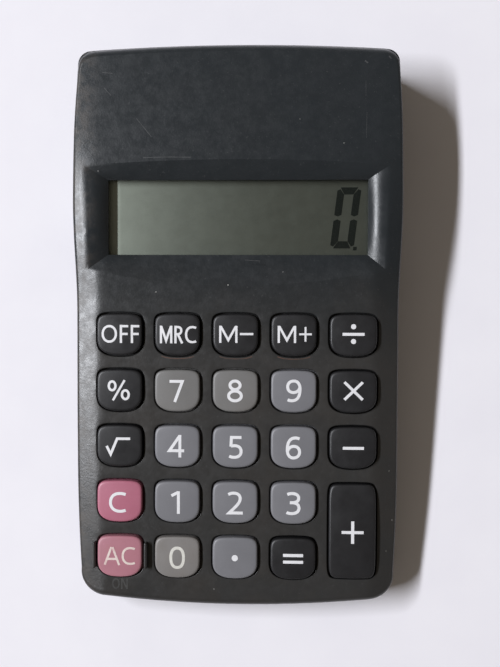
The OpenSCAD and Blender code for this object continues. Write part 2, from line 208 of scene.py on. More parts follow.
def in_poly(poly, x, y):
    inside = False
    x0, y0 = poly[-1]
    for x1, y1 in poly:
        if (y1 > y) != (y0 > y) and x < (x0 - x1) * (y - y1) / (y0 - y1) + x1:
            inside = not inside
        x0, y0 = x1, y1
    return inside


def box_of(poly):
    xs, ys = [p[0] for p in poly], [p[1] for p in poly]
    return min(xs), min(ys), max(xs), max(ys)


def fill(mesh, outer, holes, spacing=None, lift=None, clear=0.5, down=False):
    """Fills the area inside outer and outside the holes with triangles that face up, or down.
    outer and the holes are lists of (point number, x, y) whose points are already in the mesh.
    With a spacing, it adds points of height lift(x, y) that stay clear of the lines."""
    verts, ids, edges = [], [], []
    for ring in [outer] + holes:
        first = len(verts)
        for k, (pid, x, y) in enumerate(ring):
            verts.append(Vector((x, y)))
            ids.append(pid)
            edges.append((first + k, first + (k + 1) % len(ring)))
    polys = [[(x, y) for _, x, y in ring] for ring in [outer] + holes]
    boxes = [box_of(p) for p in polys]
    cell = 2
    cells = {}
    for x, y in (point for p in polys for point in p):
        cells.setdefault((int(x // cell), int(y // cell)), []).append((x, y))

    def free(x, y):
        return in_poly(polys[0], x, y) and not any(
            b[0] < x < b[2] and b[1] < y < b[3] and in_poly(p, x, y) for p, b in zip(polys[1:], boxes[1:]))

    def near_line(x, y):
        cx, cy = int(x // cell), int(y // cell)
        return any((x - a) ** 2 + (y - b) ** 2 < clear * clear
                   for di in (-1, 0, 1) for dj in (-1, 0, 1) for a, b in cells.get((cx + di, cy + dj), ()))

    x0, y0, x1, y1 = boxes[0]
    nx, ny = (int((x1 - x0) / spacing), int((y1 - y0) / spacing)) if spacing else (0, 0)
    for j in range(1, ny):
        for i in range(1, nx):
            x = x0 + (i + (0.5 if j % 2 else 0.0)) * spacing
            y = y0 + j * spacing
            if free(x, y) and not near_line(x, y):
                verts.append(Vector((x, y)))
                ids.append(None)
    out_v, _, out_f, orig_v, _, _ = geometry.delaunay_2d_cdt(verts, edges, [], 0, 1e-7)
    number = []
    for k, co in enumerate(out_v):
        pid = next((ids[o] for o in orig_v[k] if ids[o] is not None), None)
        if pid is None:
            pid = mesh.add([(co.x, co.y, lift(co.x, co.y))])[0]
        number.append(pid)
    for f in out_f:
        x = sum(out_v[i].x for i in f) / len(f)
        y = sum(out_v[i].y for i in f) / len(f)
        if free(x, y):
            mesh.face(tuple(number[i] for i in (reversed(f) if down else f)))


# ---- procedural materials ----

def new_material(name):
    m = bpy.data.materials.new(name)
    m.use_nodes = True
    m.node_tree.nodes.clear()
    out = m.node_tree.nodes.new("ShaderNodeOutputMaterial")
    bsdf = m.node_tree.nodes.new("ShaderNodeBsdfPrincipled")
    m.node_tree.links.new(bsdf.outputs[0], out.inputs[0])
    return m, m.node_tree, bsdf


def coords(tree, scale=(1, 1, 1)):
    tc = tree.nodes.new("ShaderNodeTexCoord")
    mp = tree.nodes.new("ShaderNodeMapping")
    mp.inputs["Scale"].default_value = scale
    tree.links.new(tc.outputs["Object"], mp.inputs["Vector"])
    return mp.outputs[0]


def noise(tree, vec, scale, detail=2.0, rough=0.5, distort=0.0):
    n = tree.nodes.new("ShaderNodeTexNoise")
    put(n, {"Scale": scale, "Detail": detail, "Roughness": rough, "Distortion": distort})
    tree.links.new(vec, n.inputs["Vector"])
    return n.outputs["Fac"]


def ramp(tree, fac, stops):
    r = tree.nodes.new("ShaderNodeValToRGB")
    els = r.color_ramp.elements
    while len(els) < len(stops):
        els.new(0.5)
    for e, (pos, col) in zip(els, stops):
        e.position = pos
        e.color = col if len(col) == 4 else (*col, 1)
    tree.links.new(fac, r.inputs["Fac"])
    return r.outputs["Color"]


def blend_colour(tree, fac, a, b, mode="MIX"):
    m = tree.nodes.new("ShaderNodeMix")
    m.data_type = "RGBA"
    m.blend_type = mode
    for sock, val in ((m.inputs[0], fac), (m.inputs[6], a), (m.inputs[7], b)):
        if isinstance(val, bpy.types.NodeSocket):
            tree.links.new(val, sock)
        elif isinstance(val, (int, float)):
            sock.default_value = val
        else:
            sock.default_value = (*val, 1)
    return m.outputs[2]


def bump(tree, bsdf, height, strength, distance):
    b = tree.nodes.new("ShaderNodeBump")
    put(b, {"Strength": strength, "Distance": distance})
    tree.links.new(height, b.inputs["Height"])
    tree.links.new(b.outputs[0], bsdf.inputs["Normal"])


def put(node, values):
    """Sets the constants of a node's sockets."""
    for socket, value in values.items():
        node.inputs[socket].default_value = value


def grey(v):
    return (v, v, v)


def fade(tree, fac, at_a, a, at_b, b):
    """Grey a up to at_a, turning into grey b at at_b."""
    return ramp(tree, fac, [(at_a, grey(a)), (at_b, grey(b))])


def axis(tree, vec, name):
    sep = tree.nodes.new("ShaderNodeSeparateXYZ")
    tree.links.new(vec, sep.inputs[0])
    return sep.outputs[name]


def span(tree, value, start, end, top=1.0):
    """0 at start, rising to top at end, and held beyond both."""
    n = tree.nodes.new("ShaderNodeMapRange")
    put(n, {"From Min": start, "From Max": end, "To Max": top})
    tree.links.new(value, n.inputs["Value"])
    return n.outputs[0]


def uneven_gloss(tree, bsdf, fac, low, high):
    tree.links.new(fade(tree, fac, 0.3, low, 0.7, high), bsdf.inputs["Roughness"])


def moulded(name, colour, rough=0.45, vary=0.12, grain=0.2, dirt=None, dirt_amount=0.35, specular=0.5):
    """Moulded plastic: fine spark-eroded grain, uneven polish from handling, faint dirt."""
    m, t, b = new_material(name)
    p = coords(t)
    cloud = noise(t, p, 90, 4, 0.6)
    patch = noise(t, p, 320, 3, 0.6)
    light = tuple(c * (1 + vary) for c in colour)
    dark = tuple(c * (1 - vary) for c in colour)
    col = ramp(t, cloud, [(0.32, dark), (0.68, light)])
    if dirt:
        mask = fade(t, noise(t, p, 60, 5, 0.65, 0.4), 0.45, 0, 0.75, dirt_amount)
        col = blend_colour(t, mask, col, dirt)
    speck = fade(t, noise(t, p, 2600, 1), 0.70, 0, 0.80, 0.10)
    col = blend_colour(t, speck, col, tuple(min(1, c * 2.2 + 0.02) for c in colour))
    t.links.new(col, b.inputs["Base Color"])
    uneven_gloss(t, b, patch, rough - 0.06, rough + 0.08)
    b.inputs["Specular IOR Level"].default_value = specular
    bump(t, b, noise(t, p, 5200, 2, 0.6), grain, 0.00006)
    return m


def ink(name, colour, wear=0.0, under=grey(0.1), rough=0.5, specular=0.5):
    """Printed legend: slightly uneven ink, worn thin where fingers rub it."""
    m, t, b = new_material(name)
    p = coords(t)
    col = ramp(t, noise(t, p, 900, 3), [(0.3, tuple(c * 0.92 for c in colour)), (0.7, colour)])
    if wear:
        mask = fade(t, noise(t, p, 700, 4, 0.7), 0.42, 0, 0.62, wear)
        col = blend_colour(t, mask, col, under)
    t.links.new(col, b.inputs["Base Color"])
    uneven_gloss(t, b, noise(t, p, 1500, 2), rough, rough + 0.15)
    b.inputs["Specular IOR Level"].default_value = specular
    bump(t, b, noise(t, p, 4000, 2), 0.15, 0.00004)
    return m


def metal(name, colour, rough=0.3, brushed=0.25):
    """Plated metal with fine turning marks and dull patches."""
    m, t, b = new_material(name)
    p = coords(t, (1, 1, 6))
    col = ramp(t, noise(t, p, 400, 4), [(0.3, tuple(c * 0.8 for c in colour)), (0.7, colour)])
    t.links.new(col, b.inputs["Base Color"])
    b.inputs["Metallic"].default_value = 1.0
    uneven_gloss(t, b, noise(t, p, 900, 3), rough - 0.08, rough + 0.15)
    bump(t, b, noise(t, coords(t, (1, 1, 14)), 1800, 3), brushed, 0.00005)
    return m


def case_material():
    """Case plastic: near black and a little blue at the display, duller and browner where hands
    hold it, with an uneven polish and fine pale specks, and a painted highlight: a mottled lighter
    brown band along the left edge only, the side the light comes from. The colours along its
    length are tuned against the photograph: lightest and a little warm over the keys, darkest just
    below the display and bluish from there up."""
    m, t, b = new_material("case_plastic")
    p = coords(t)
    along = span(t, axis(t, p, "Y"), -0.060, 0.060)
    col = ramp(t, along, [(0.0, grey(0.0265)), (0.42, (0.0300, 0.0292, 0.0285)),
                          (0.52, (0.0215, 0.0228, 0.0238)), (0.61, (0.0135, 0.0170, 0.0200)),
                          (1.0, (0.0170, 0.0210, 0.0245))])
    worn = fade(t, noise(t, p, 75, 5, 0.65, 0.4), 0.45, 0, 0.78, 0.22)
    held = fade(t, along, 0.50, 1, 0.62, 0.15)
    worn = blend_colour(t, 1.0, worn, held, "MULTIPLY")
    col = blend_colour(t, worn, col, (0.058, 0.046, 0.036))
    # painted highlight: a mottled lighter brown band on the left edge only, where the light falls
    side = span(t, axis(t, p, "X"), -0.0285, -0.0335, 0.45)
    left_sheen = blend_colour(t, fade(t, noise(t, p, 330, 5, 0.75), 0.44, 0, 0.60, 1), (0, 0, 0), side)
    col = blend_colour(t, left_sheen, col, (0.075, 0.058, 0.045))
    speck = fade(t, noise(t, p, 2300, 1), 0.69, 0, 0.78, 0.22)
    col = blend_colour(t, speck, col, grey(0.10))
    t.links.new(col, b.inputs["Base Color"])
    polish = blend_colour(t, 0.4, noise(t, p, 330, 4, 0.6), noise(t, p, 950, 2, 0.5))
    t.links.new(fade(t, polish, 0.39, 0.29, 0.61, 0.39), b.inputs["Roughness"])
    bump(t, b, noise(t, p, 2400, 3, 0.6), 0.30, 0.00007)
    return m


CASE = case_material()
GREY_WARM = moulded("grey_key_warm", (0.160, 0.157, 0.153), vary=0.06, dirt=(0.13, 0.10, 0.08),
                    dirt_amount=0.2)
DARK = moulded("dark_key_plastic", (0.0125, 0.0125, 0.0140), rough=0.42, vary=0.08, specular=0.45)
GREY = moulded("grey_key_plastic", (0.165, 0.165, 0.178), vary=0.05)
GREY_WORN = moulded("grey_key_handled", (0.195, 0.185, 0.178), vary=0.07, dirt=(0.13, 0.10, 0.07))
PINK = moulded("pink_key_plastic", (0.405, 0.132, 0.190), rough=0.43, vary=0.05)
PINK_WORN = moulded("pink_key_handled", (0.395, 0.165, 0.205), vary=0.07, dirt=(0.33, 0.15, 0.12),
                    dirt_amount=0.4)
WHITE_INK = ink("white_ink", (0.76, 0.76, 0.78))
CREAM_INK = ink("handled_ink", (0.68, 0.67, 0.62), wear=0.22, under=(0.32, 0.29, 0.24))
WORN_INK = ink("worn_ink", (0.74, 0.64, 0.59), wear=0.40, under=(0.45, 0.18, 0.20))
FAINT_INK = ink("faint_ink", (0.045, 0.044, 0.042), wear=0.9, under=(0.028, 0.028, 0.027))
LCD_INK = ink("lcd_ink", (0.006, 0.008, 0.006), rough=0.4, specular=0.06)
SCUFF = ink("scuffed_plastic", (0.062, 0.064, 0.066), wear=0.9, under=(0.026, 0.028, 0.030))
DUST = ink("dust", (0.42, 0.41, 0.39), wear=0.3, under=grey(0.2))
GRIME = ink("grime", (0.085, 0.040, 0.026), wear=0.75, under=(0.028, 0.022, 0.019))
STEEL = metal("zinc_steel", (0.60, 0.61, 0.63), rough=0.34)
NICKEL = metal("nickel_plate", (0.66, 0.65, 0.61), rough=0.24, brushed=0.1)
RUBBER = moulded("black_rubber", grey(0.022), rough=0.75, vary=0.15, grain=0.5,
                 dirt=(0.10, 0.09, 0.08), dirt_amount=0.4, specular=0.25)
MAT = moulded("silicone_mat", (0.10, 0.10, 0.11), rough=0.62, vary=0.05, specular=0.3)
CARBON = moulded("carbon_pill", grey(0.012), rough=0.85, grain=0.5, specular=0.2)
HOLDER = moulded("natural_moulding", (0.52, 0.52, 0.49), rough=0.5, vary=0.04)
RESIN = moulded("black_resin", grey(0.012), rough=0.22, grain=0.05)
SLEEVE = moulded("capacitor_sleeve", (0.02, 0.03, 0.10), rough=0.28, grain=0.08)
CERAMIC = moulded("dipped_ceramic", (0.50, 0.25, 0.07), grain=0.4)
LACQUER = moulded("resistor_lacquer", (0.55, 0.42, 0.25), rough=0.3, grain=0.15)
RED_PVC = moulded("red_pvc", (0.42, 0.02, 0.015), rough=0.35, grain=0.08)
BLACK_PVC = moulded("black_pvc", grey(0.012), rough=0.35, grain=0.08)
FILM = moulded("amber_film", (0.30, 0.15, 0.05), rough=0.25, grain=0.05)


def board_material():
    """Phenolic board: brown laminate with a faint green grid of tracks under the lacquer."""
    m, t, b = new_material("phenolic_board")
    p = coords(t)
    fibre = noise(t, coords(t, (1, 8, 1)), 700, 4, 0.6)
    col = ramp(t, fibre, [(0.3, (0.20, 0.12, 0.05)), (0.7, (0.34, 0.22, 0.10))])
    tracks = t.nodes.new("ShaderNodeTexBrick")
    put(tracks, {"Scale": 260, "Mortar Size": 0.12})
    t.links.new(p, tracks.inputs["Vector"])
    col = blend_colour(t, fade(t, tracks.outputs["Fac"], 0.4, 0, 0.6, 0.35), col, (0.16, 0.24, 0.10))
    t.links.new(col, b.inputs["Base Color"])
    b.inputs["Roughness"].default_value = 0.35
    bump(t, b, tracks.outputs["Fac"], 0.2, 0.00004)
    return m


def cell_material():
    """Plain sleeve of an AA cell: green body, pale band at the positive end."""
    m, t, b = new_material("cell_sleeve")
    p = coords(t)
    band = ramp(t, axis(t, p, "X"), [(0.0, grey(0)), (0.0155, grey(0)), (0.0156, grey(1))])
    body = ramp(t, noise(t, p, 300, 3), [(0.3, (0.035, 0.11, 0.07)), (0.7, (0.045, 0.14, 0.09))])
    t.links.new(blend_colour(t, band, body, (0.55, 0.50, 0.36)), b.inputs["Base Color"])
    b.inputs["Metallic"].default_value = 0.4
    uneven_gloss(t, b, noise(t, p, 500, 2), 0.26, 0.36)
    bump(t, b, noise(t, p, 1500, 2), 0.08, 0.00005)
    return m


def lcd_material():
    """Grey-green reflective panel. The fall-off from left to right, which a real panel gets from
    the angle of view and light, is painted here: its stops along X are tuned until the picture is
    as light as the photograph."""
    m, t, b = new_material("lcd_glass")
    p = coords(t)
    across = span(t, axis(t, p, "X"), -0.027, 0.027)
    # the lightest stops, at the far left, lie where the rim casts its shadow on the panel: light painted
    # into that shadow
    col = ramp(t, across, [(at, (0.95 * v, 1.06 * v, 0.92 * v)) for at, v in (
        (0.0, 0.25), (0.030, 0.28), (0.045, 0.185), (0.17, 0.120), (0.30, 0.076), (0.42, 0.052),
        (0.54, 0.036), (0.66, 0.025), (1.0, 0.018))])
    cloudy = fade(t, noise(t, p, 260, 4, 0.6), 0.3, 0.0, 0.75, 0.12)
    t.links.new(blend_colour(t, cloudy, col, (0.060, 0.060, 0.045)), b.inputs["Base Color"])
    uneven_gloss(t, b, noise(t, p, 420, 3, 0.6), 0.32, 0.36)
    put(b, {"Specular IOR Level": 1.0, "IOR": 1.68, "Specular Tint": (0.90, 1.0, 0.84, 1)})
    bump(t, b, noise(t, p, 3500, 2), 0.05, 0.00003)
    return m


def window_material():
    """Clear acrylic with hairline scratches that catch the light."""
    m, t, b = new_material("window_acrylic")
    haze = noise(t, coords(t, (1, 14, 1)), 260, 5, 0.7, 0.6)
    put(b, {"Base Color": (0.12, 0.125, 0.12, 1), "Roughness": 0.12})
    t.links.new(fade(t, haze, 0.60, 0.02, 0.80, 0.12), b.inputs["Alpha"])
    bump(t, b, noise(t, coords(t), 1200, 3), 0.03, 0.00003)
    return m


BOARD, CELL, LCD, WINDOW = board_material(), cell_material(), lcd_material(), window_material()

# ---- outline rings of the case ----

SIDE_N, ENDS_N, LOW_N, TOP_N = 46, 14, 12, 10
# how far the wall of the front shell leans in from the parting line to its upper edge, by y
SIDE_LEAN = ((-60, 0.32), (-40, 0.28), (-18, 0.15), (4, 0.17), (27, 0.34), (42, 0.50), (60, 0.78))
LOW_LEAN, TOP_LEAN = 0.22, 0.75
# the rounded corners of the plan: radius, smallest radius, y at which the side is taken; the
# top ones lose TOP_R_KEEP of an inset, and the runs of points end a step short of each other
LOW_R, LOW_R_MIN, LOW_SIDE_Y = 5.4, 0.8, -51
TOP_R, TOP_R_MIN, TOP_SIDE_Y = 3.6, 0.7, 55.5
TOP_R_KEEP, CORNER_STEP, SIDE_STEP = 0.55, 0.3, 0.7
# insets (side, low end, top end) of the rings on the upper face, and of the start of the roll
FACE_INSETS = ((1.9, 2.3, 2.5), (1.4, 2.0, 2.1), (1.0, 1.7, 1.75))
ROLL_INSET = (0.6, 1.4, 1.45)
# rings in the roll, and its size on the sides, the low end and the top end
ROLL_N, ROLL_SIDE, ROLL_LOW, ROLL_TOP = 9, 0.6, 1.15, 1.35
# slope at the start of the roll, in degrees, on the key part and on the thick head, and where
# the one turns into the other
ROLL_START, ROLL_START_HEAD, HEAD_Y, HEAD_L = 13, 30, 14, 20


def side_lean(y):
    for (y0, a), (y1, b) in zip(SIDE_LEAN, SIDE_LEAN[1:]):
        if y <= y1:
            return mix(a, b, max(0.0, (y - y0) / (y1 - y0)))
    return SIDE_LEAN[-1][1]


def wall_x(y, side, lean):
    return half_w(y) - side - side_lean(y) * lean


def corner_arc(cx, cy, rx, ry, start, end, n):
    """Points of a plan corner between two angles in degrees, each with its share in the end."""
    angles = [radians(mix(start, end, i / (n - 1))) for i in range(n)]
    return [(cx + rx * cos(a), cy + ry * sin(a), sin(a) ** 2) for a in angles]


def ring_xy(side, low, top, lean=1.0):
    """Plan outline drawn in from its edge: by side along the two long sides, by low and top at
    the two ends. Gives (x, y, how much the point belongs to an end)."""
    low, top = low + LOW_LEAN * lean, top + TOP_LEAN * lean
    low_rx, low_ry = max(LOW_R_MIN, LOW_R - side), max(LOW_R_MIN, LOW_R - low)
    low_x = wall_x(LOW_SIDE_Y, side, lean) - low_rx
    low_y = end_low(low_x) + low + low_ry
    top_rx = max(TOP_R_MIN, TOP_R - side * TOP_R_KEEP)
    top_ry = max(TOP_R_MIN, TOP_R - top * TOP_R_KEEP)
    top_x = wall_x(TOP_SIDE_Y, side, lean) - top_rx
    top_y = end_top(top_x) - top - top_ry
    low_run = [(low_x - CORNER_STEP) * i / (ENDS_N - 1) for i in range(ENDS_N)]
    top_run = [(top_x - CORNER_STEP) * (1 - i / (ENDS_N - 1)) for i in range(ENDS_N)]
    side_run = [mix(low_y + SIDE_STEP, top_y - SIDE_STEP, i / (SIDE_N - 1)) for i in range(SIDE_N)]
    pts = [(x, end_low(x) + low, 1.0) for x in low_run]
    pts += corner_arc(low_x, low_y, low_rx, low_ry, -84, -4, LOW_N)
    pts += [(wall_x(y, side, lean), y, 0.0) for y in side_run]
    pts += corner_arc(top_x, top_y, top_rx, top_ry, 5, 86, TOP_N)
    pts += [(x, end_top(x) - top, 1.0) for x in top_run]
    left = [(-x, y, e) for x, y, e in reversed(pts[1:-1])]

    def upright(x, y):
        """How much less the right wall leans in than the left one."""
        share = 1 - 0.5 * step01((y - 5) / 35)
        return lean * side_lean(y) * share * max(0.0, min(1.0, (x - 25) / 6))

    return [(x + upright(x, y), y, e) for x, y, e in pts] + left


def corner_rings():
    """Rings of the upper surface near its edge, then of the roll down to the wall: tight
    along the sides, wider at the two ends."""
    rings = []
    for insets in FACE_INSETS:
        rings.append([(x, y, surface_h(x, y)) for x, y, _ in ring_xy(*insets)])
    base = [surface_h(x, y) for x, y, _ in ring_xy(*ROLL_INSET)]
    for i in range(ROLL_N):
        t = i / (ROLL_N - 1)
        k = 1 - sin(pi / 2 * t)
        ring = []
        for (x, y, e), z in zip(ring_xy(*(inset * k for inset in ROLL_INSET)), base):
            thick = step01((y - HEAD_Y) / HEAD_L)
            start = mix(mix(ROLL_START, ROLL_START_HEAD, thick), ROLL_START_HEAD * thick, e)
            a0 = radians(start)
            fall = cos(a0) - cos(mix(a0, pi / 2, t))
            ring.append((x, y, z - mix(ROLL_SIDE, ROLL_LOW if y < 0 else ROLL_TOP, e) * fall))
        rings.append(ring)
    return rings


def key_outline(w, l, grow=0.0, n=72):
    """Key shape: slightly arched with tight corners at the top, rounder towards the user."""
    hw, hl = w / 2 + grow, l / 2 + grow
    pts = []
    for i in range(n):
        a = 2 * pi * i / n
        c, s = cos(a), sin(a)
        sag, square = (0.12, 9) if l > 12 else ((0.30, 6.2) if s > 0 else (0.72, 3.8))
        x = hw * power(c, 2 / square)
        part = abs(s) ** (2 / square)
        pts.append((x, copysign((hl - sag) * part + sag * part * (1 - (x / hw) ** 2), s)))
    return pts


# the rows of keys from the display down; the plus key reaches over the last two rows
LAYOUT = ("off mrc m_minus m_plus divide", "percent 7 8 9 times", "root 4 5 6 minus", "c 1 2 3 plus",
          "ac 0 point equals")
FINISH = {"c": PINK, "ac": PINK_WORN, "0": GREY_WORN, "7": GREY_WARM, "8": GREY_WARM, "point": GREY,
          **dict.fromkeys("1234569", GREY)}
# each key: name, column, row, finish
KEYS = [(name, col, 4.5 if name == "plus" else row_no, FINISH.get(name, DARK))
        for row_no, names in enumerate(LAYOUT, 1) for col, name in enumerate(names.split(), 1)]


def key_size(name, col):
    return (WIDE_W if col == 5 else KEY_W), (TALL_L if name == "plus" else KEY_L)


# ---- front case ----

# the upper edge is creased above this y; a small bevel at the parting line, then the insets of
# the wall's inner edge and of the ceiling; the roll and the depth of a key's hole
HEAD_CREASE_Y = 12
LIP_STEP, LIP_IN, WALL_IN, INNER_WALL_IN = 0.1, 0.12, 1.35, 1.6
HOLE_ROLL, HOLE_ROLL_N, HOLE_FLOOR = 0.18, 5, -1.62
# right corners of the display recess, which the left ones mirror, and the y of the middle of
# its arched lower and upper edge
RECESS_LOW, RECESS_TOP = (31.2, 11.2), (31.9, 32.8)
RECESS_LOW_MID, RECESS_TOP_MID = 7.9, 33.9
RECESS_N, RECESS_SIDE_N, BEVEL_N, BEVEL_CROWD = 40, 20, 14, 1.7
WIN_X, WIN_WALL = (-27.0, 27.45), 0.9
# half width and half length of a rib beside the AC key, its distance from the key's middle,
# and (inset, height) of its rings from the foot up
RIB_HALF, RIB_AT = (0.35, 2.8), (5.45, 0.2)
RIB_RINGS = ((0, -0.3), (0, 1.05), (0.06, 1.19), (0.16, 1.27), (0.30, 1.3))


def recess_arch(corner, mid, sign):
    """An arched edge of the recess: from left to right with sign 1, back with sign -1."""
    end, y = corner
    xs = [mix(-sign * end, sign * end, i / RECESS_N) for i in range(RECESS_N + 1)]
    return [(x, mid + (y - mid) * (x / end) ** 2) for x in xs]


def recess_outer():
    """Outline of the display recess on the upper surface, in four runs from corner to corner."""
    right = [tuple(mix(a, b, i / RECESS_SIDE_N) for a, b in zip(RECESS_LOW, RECESS_TOP))
             for i in range(RECESS_SIDE_N + 1)]
    left = [(-x, y) for x, y in reversed(right)]
    low, top = recess_arch(RECESS_LOW, RECESS_LOW_MID, 1), recess_arch(RECESS_TOP, RECESS_TOP_MID, -1)
    return low, right, top, left


def window_edge(run, i, n):
    """Point of the window's upper rim that matches point i of n of a run of the recess."""
    x0, x1 = WIN_X
    t = i / n
    u, v = [(mix(x0, x1, t), WIN_V0), (x1, mix(WIN_V0, WIN_V1, t)),
            (mix(x1, x0, t), WIN_V1), (x0, mix(WIN_V1, WIN_V0, t))][run]
    return tilt(u, v, -RIM)


def bevel_point(outer, inner, k, long_run, at_corner):
    """Point k of a line over the bevel. The long runs fall evenly and the short ones late; at
    a corner both have the same fall, so that they meet in a mitre."""
    t = 1 - (1 - k / BEVEL_N) ** BEVEL_CROWD
    fall = 0.86 * t + 0.14 * t * t if long_run else 0.04 * t + 0.96 * t ** 3
    fall = mix(fall, 0.3 * t + 0.7 * t ** 3, at_corner)
    return mix(outer[0], inner[0], t), mix(outer[1], inner[1], t), mix(outer[2], inner[2], fall)


def add_wall(m):
    """Edge and side wall of the front shell, down to the parting line and in under it."""
    rings = [m.add(ring) for ring in corner_rings()]
    edge = rings[len(FACE_INSETS)]
    for i, j in zip(edge, edge[1:] + edge[:1]):
        if min(m.points[i][1], m.points[j][1]) > HEAD_CREASE_Y:
            m.crease([i, j], closed=False)
    for a, b in zip(rings, rings[1:]):
        m.strip(b, a)
    rim, wide = ring_xy(0, 0, 0), ring_xy(0, 0, 0, 0)
    half_way = [(mix(a[0], b[0], 0.5), mix(a[1], b[1], 0.5), 0) for a, b in zip(rim, wide)]
    last = [m.points[i] for i in rings[-1]]
    for share, plan, lift in ((0.5, half_way, 0.0), (1.0, wide, LIP_STEP),
                              (1.0, ring_xy(LIP_IN, LIP_IN, LIP_IN, 0), 0.0),
                              (1.0, ring_xy(WALL_IN, WALL_IN, WALL_IN, 0), 0.0)):
        row = m.add([(x, y, min(p[2], mix(p[2], parting_h(y), share)) + lift)
                     for (x, y, _), p in zip(plan, last)])
        m.strip(row, rings[-1])
        rings.append(row)
    return rings[0], rings[-1]


def add_aperture(m, w, l, cx, cv):
    """A key's hole: a small roll, then the wall. Gives its upper and its lower edge."""
    rings = []
    for i in range(HOLE_ROLL_N + 1):
        a = radians(90 / HOLE_ROLL_N * i)
        d = HOLE_ROLL * (1 - cos(a))
        ring = []
        for x, y in key_outline(w, l, KEY_GAP + HOLE_ROLL * (1 - sin(a))):
            px, py, pz = tilt(cx + x, cv + y, -d)
            ring.append((px, py, pz + surface_h(px, py) - PLANE_H - py * TAN))
        rings.append(m.add(ring))
    rings.append(m.add([tilt(cx + x, cv + y, HOLE_FLOOR) for x, y in key_outline(w, l, KEY_GAP)]))
    for a, b in zip(rings, rings[1:]):
        m.strip(a, b)
    return m.flat(rings[0]), m.flat(rings[-1])


def add_recess(m):
    """Four bevelled faces around the window. Gives the loops on the upper face and at the rim."""
    outer_loop, inner_loop, corners = [], [], {}
    for r, run in enumerate(recess_outer()):
        n = len(run) - 1
        long_run = r in (0, 2)
        cols = []
        for i, (x, y) in enumerate(run):
            at_corner = abs(2 * i / n - 1) ** 8
            col = []
            for k in range(BEVEL_N + 1):
                spot = (round(x, 3), round(y, 3), k)
                if i not in (0, n) or spot not in corners:
                    corners[spot] = m.add([bevel_point((x, y, surface_h(x, y)), window_edge(r, i, n),
                                                       k, long_run, at_corner)])[0]
                col.append(corners[spot])
            cols.append(col)
        for a, b in zip(cols, cols[1:]):
            for k in range(BEVEL_N):
                m.face((a[k + 1], a[k], b[k], b[k + 1]))
        m.crease(cols[0], closed=False)
        if long_run:
            m.crease([c[0] for c in cols[3:-3]], closed=False)
        outer_loop += [c[0] for c in cols[:-1]]
        inner_loop += [c[-1] for c in cols[:-1]]
    m.crease(inner_loop)
    return outer_loop, inner_loop


def add_guard_rib(m, cx, cv, n=24):
    prev = None
    for inset, w in RIB_RINGS:
        pts = []
        for i in range(n):
            a = 2 * pi * i / n
            pts.append(tilt(cx + (RIB_HALF[0] - inset) * power(cos(a), 0.5),
                            cv + (RIB_HALF[1] - inset) * power(sin(a), 0.3), w))
        ring = m.add(pts)
        if prev:
            m.strip(prev, ring)
        else:
            m.face(tuple(reversed(ring)))
        prev = ring
    m.face(tuple(prev))


def build_front():
    m = Mesh()
    first, last = add_wall(m)
    holes, floors = [], []
    for name, col, row_no, _ in KEYS:
        hole, floor = add_aperture(m, *key_size(name, col), COL_X[col - 1], row_v(row_no))
        holes.append(hole)
        floors.append(floor)
    outer_loop, inner_loop = add_recess(m)
    rim = [m.points[i] for i in inner_loop]
    down = m.add([(x, y + WIN_WALL * SIN, z - WIN_WALL * COS) for x, y, z in rim])
    m.strip(inner_loop, down)
    fill(m, m.flat(first), holes + [m.flat(outer_loop)], 1.0, surface_h)
    # the underside, which closes the shell
    under = m.add([(x, y, under_h(x, y)) for _, x, y in m.flat(outer_loop)])
    m.strip(down, under)
    inner_wall = ring_xy(INNER_WALL_IN, INNER_WALL_IN, INNER_WALL_IN, 0)
    ceiling = m.add([(x, y, under_h(x, y)) for x, y, _ in inner_wall])
    m.strip(ceiling, last)
    fill(m, m.flat(ceiling), floors + [m.flat(under)], 3.0, under_h, clear=0.8, down=True)
    for side in (-1, 1):
        add_guard_rib(m, COL_X[0] + side * RIB_AT[0], row_v(5) + RIB_AT[1])
    front = m.build("front_shell", [CASE], 42)
    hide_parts("front_case")
    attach(front, "case")


# ---- keys ----

# width, fall and steps of the roll round a crown, and the height of the roof inside a cap
CAP_ROLL, CAP_FALL, CAP_ROLL_N, CAP_ROOF = 0.45, 0.32, 8, -0.3
CROWN_SHARES = (0.12, 0.3, 0.48, 0.64, 0.78, 0.9, 1.0)
STEM_ROOT = -0.2


def dome(x, y, tall):
    return KEY_RISE - x * x / 125 - y * y / (240 if tall else 110)


def build_key(name, col, row_no, finish):
    """A hollow cap from the middle of its crown out, down and round to the roof inside it, and
    the stems that bear on the domes of the key mat."""
    w, l = key_size(name, col)
    tall = name == "plus"
    cx, cv = COL_X[col - 1], row_v(row_no)
    m = Mesh()

    def crown_ring(grow, share, drop):
        pts = [(x * share, y * share) for x, y in key_outline(w, l, grow)]
        return m.add([tilt(cx + x, cv + y, dome(x, y, tall) - drop) for x, y in pts])

    rings = [crown_ring(-CAP_ROLL, share, 0) for share in CROWN_SHARES]
    for i in range(1, CAP_ROLL_N + 1):
        a = radians(90 * i / CAP_ROLL_N)
        rings.append(crown_ring(-CAP_ROLL * (1 - sin(a)), 1, CAP_FALL * (1 - cos(a))))
    for grow, h in ((0.03, -0.6), (0.05, FLANGE_TOP), (FLANGE_OUT, FLANGE_TOP), (FLANGE_OUT, FLANGE_BOT),
                    (-CAP_WALL, FLANGE_BOT), (-CAP_WALL, CAP_ROOF)):
        rings.append(m.add([tilt(cx + x, cv + y, h) for x, y in key_outline(w, l, grow)]))
    for a, b in zip(rings, rings[1:]):
        m.strip(b, a)
    m.face(tuple(rings[0]))
    m.face(tuple(reversed(rings[-1])))
    for d in ((-ROW_PITCH / 2, ROW_PITCH / 2) if tall else (0,)):
        outline = circle(cx, cv + d, STEM_R, 24)
        root, foot = (m.add([tilt(x, v, h) for x, v in outline]) for h in (STEM_ROOT, FLANGE_BOT))
        m.strip(foot, root)
        m.face(tuple(root))
        m.face(tuple(reversed(foot)))
    cap = m.build("cap_" + name, [finish], 50)
    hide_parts("key_" + name)
    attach(cap, "k_" + name)


# ---- key mat ----

